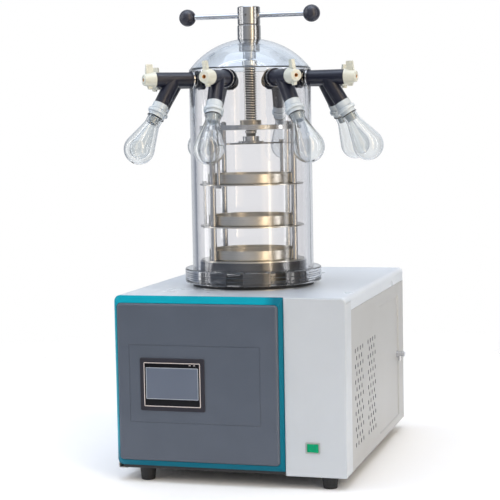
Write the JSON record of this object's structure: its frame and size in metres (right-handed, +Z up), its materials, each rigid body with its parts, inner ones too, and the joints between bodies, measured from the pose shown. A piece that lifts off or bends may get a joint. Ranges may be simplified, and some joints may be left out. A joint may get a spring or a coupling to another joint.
{
  "type": "freeze dryer",
  "caption": "Bench freeze dryer: cabinet with touch screen and cold trap, clear domed chamber with a stoppering shelf rack, and a ring of valves with glass flasks.",
  "frame": {"origin": "centre of the bounding box's footprint, on the bench under the feet", "axes": "+Z up, -Y to the front with the touch screen, +X to the side with the switch and the drain"},
  "size_m": [0.5576, 0.6939, 0.941],
  "materials": {
    "cabinet_white": "satin",
    "fascia_white": "satin",
    "teal": "gloss",
    "fascia_grey": "satin",
    "plastic_black": "gloss",
    "display_glass": "gloss",
    "switch_green": "gloss",
    "chassis_black": "matte",
    "rubber_black": "matte",
    "seal_grey": "matte",
    "steel": "brushed",
    "steel_bright": "polished",
    "chrome": "polished",
    "copper": "satin",
    "bronze": "satin",
    "foam": "matte",
    "compressor_black": "gloss",
    "aluminium": "satin",
    "fan_grey": "matte",
    "hose_clear": "satin",
    "box_grey": "matte",
    "base_black": "satin",
    "acrylic": "clear",
    "flask_glass": "clear",
    "valve_black": "satin",
    "adapter_grey": "satin",
    "knob_cream": "satin"
  },
  "bodies": {
    "cabinet": {"chassis": "chassis_black", "rubber_feet": "rubber_black", "top_cover": "cabinet_white", "left_side_panel": "cabinet_white", "right_side_panel": "cabinet_white", "rear_panel": "cabinet_white", "front_frame": "teal", "front_fascia": "fascia_grey", "corner_fascia": "fascia_white", "screen_bezel": "plastic_black", "screen_glass": "display_glass", "switch_frame": "plastic_black", "panel_screws": "chrome", "cold_trap_pot": "steel", "refrigerant_tubes": "copper", "trap_insulation": "foam", "seal_ring": "seal_grey", "compressor": "compressor_black", "condenser": "aluminium", "fan_frame": "plastic_black", "vacuum_pipe": "steel", "drain_valve": "chrome", "drain_tube": "hose_clear", "power_inlet": "plastic_black", "control_box": "box_grey", "rack_base": "base_black", "guide_rods": "steel_bright", "rack_top_plate": "steel_bright", "spindle_nut": "bronze", "bottom_shelf": "steel", "tray_bottom": "steel"},
    "chamber": {"chamber_tube": "acrylic", "chamber_dome": "acrylic", "gland_body": "steel_bright", "gland_nut": "steel_bright", "valve_bodies": "valve_black", "neck_adapters": "adapter_grey", "flasks": "flask_glass"},
    "handle": {"handle_hub": "steel_bright", "handle_bar": "chrome", "ball_knobs": "plastic_black"},
    "press_plate": {"press_plate": "steel_bright", "upper_hangers": "steel_bright"},
    "spindle": {"spindle": "steel_bright"},
    "top_shelf": {"top_shelf": "steel", "lower_hangers": "steel_bright", "tray_top": "steel"},
    "middle_shelf": {"middle_shelf": "steel", "tray_middle": "steel"},
    "switch_rocker": {"switch_rocker": "switch_green"},
    "fan_rotor": {"fan_rotor": "fan_grey"},
    "drain_knob": {"drain_knob": "chrome"},
    "valve_knob_1": {"valve_knob_1": "knob_cream"},
    "valve_knob_2": {"valve_knob_2": "knob_cream"},
    "valve_knob_3": {"valve_knob_3": "knob_cream"},
    "valve_knob_4": {"valve_knob_4": "knob_cream"},
    "valve_knob_5": {"valve_knob_5": "knob_cream"},
    "valve_knob_6": {"valve_knob_6": "knob_cream"},
    "valve_knob_7": {"valve_knob_7": "knob_cream"},
    "valve_knob_8": {"valve_knob_8": "knob_cream"}
  },
  "joints": [
    {"name": "chamber_lift", "type": "slide", "parent": "cabinet", "child": "chamber", "axis": [0, 0, 1], "range_m": [0, 0.48]},
    {"name": "handle_turn", "type": "hinge", "parent": "chamber", "child": "handle", "pos_m": [0, -0.06805, 0.923], "axis": [0, 0, 1], "range_deg": [-5832, 0]},
    {"name": "press_travel", "type": "slide", "parent": "cabinet", "child": "press_plate", "axis": [0, 0, 1], "range_m": [-0.0812, 0.0001]},
    {"name": "top_shelf_travel", "type": "slide", "parent": "cabinet", "child": "top_shelf", "axis": [0, 0, 1], "range_m": [-0.0542, 0.0001]},
    {"name": "middle_shelf_travel", "type": "slide", "parent": "cabinet", "child": "middle_shelf", "axis": [0, 0, 1], "range_m": [-0.0272, 0.0001]},
    {"name": "spindle_turn", "type": "hinge", "parent": "press_plate", "child": "spindle", "pos_m": [0, -0.06805, 0.661], "axis": [0, 0, 1], "range_deg": [-5833, 1]},
    {"name": "rocker_tip", "type": "hinge", "parent": "cabinet", "child": "switch_rocker", "pos_m": [0.1768, -0.29355, 0.081], "axis": [0, 0, 1], "range_deg": [0, 16]},
    {"name": "fan_spin", "type": "hinge", "parent": "cabinet", "child": "fan_rotor", "pos_m": [0.1685, -0.10805, 0.1275], "axis": [1, 0, 0], "continuous": true},
    {"name": "drain_turn", "type": "hinge", "parent": "cabinet", "child": "drain_knob", "pos_m": [0.2435, 0.24595, 0.182], "axis": [1, 0, 0], "range_deg": [0, 90]},
    {"name": "valve_knob_1_turn", "type": "hinge", "parent": "chamber", "child": "valve_knob_1", "pos_m": [-0.02296, -0.27276, 0.793], "axis": [-0.1115, -0.9938, 0], "range_deg": [0, 90]},
    {"name": "valve_knob_2_turn", "type": "hinge", "parent": "chamber", "child": "valve_knob_2", "pos_m": [0.12852, -0.22904, 0.793], "axis": [0.6239, -0.7815, 0], "range_deg": [0, 90]},
    {"name": "valve_knob_3_turn", "type": "hinge", "parent": "chamber", "child": "valve_knob_3", "pos_m": [0.20472, -0.09101, 0.793], "axis": [0.9938, -0.1115, 0], "range_deg": [0, 90]},
    {"name": "valve_knob_4_turn", "type": "hinge", "parent": "chamber", "child": "valve_knob_4", "pos_m": [0.16099, 0.06047, 0.793], "axis": [0.7815, 0.6239, 0], "range_deg": [0, 90]},
    {"name": "valve_knob_5_turn", "type": "hinge", "parent": "chamber", "child": "valve_knob_5", "pos_m": [0.02296, 0.13667, 0.793], "axis": [0.1115, 0.9938, 0], "range_deg": [0, 90]},
    {"name": "valve_knob_6_turn", "type": "hinge", "parent": "chamber", "child": "valve_knob_6", "pos_m": [-0.12852, 0.09294, 0.793], "axis": [-0.6239, 0.7815, 0], "range_deg": [0, 90]},
    {"name": "valve_knob_7_turn", "type": "hinge", "parent": "chamber", "child": "valve_knob_7", "pos_m": [-0.20472, -0.04509, 0.793], "axis": [-0.9938, 0.1115, 0], "range_deg": [0, 90]},
    {"name": "valve_knob_8_turn", "type": "hinge", "parent": "chamber", "child": "valve_knob_8", "pos_m": [-0.16099, -0.19657, 0.793], "axis": [-0.7815, -0.6239, 0], "range_deg": [0, 90]}
  ],
  "couplings": [
    {"joint": "press_travel", "follows": "handle_turn", "m_per_rad": 0.00079577},
    {"joint": "top_shelf_travel", "follows": "handle_turn", "m_per_rad": 0.00053052},
    {"joint": "middle_shelf_travel", "follows": "handle_turn", "m_per_rad": 0.00026526},
    {"joint": "spindle_turn", "follows": "handle_turn", "ratio": 1}
  ]
}
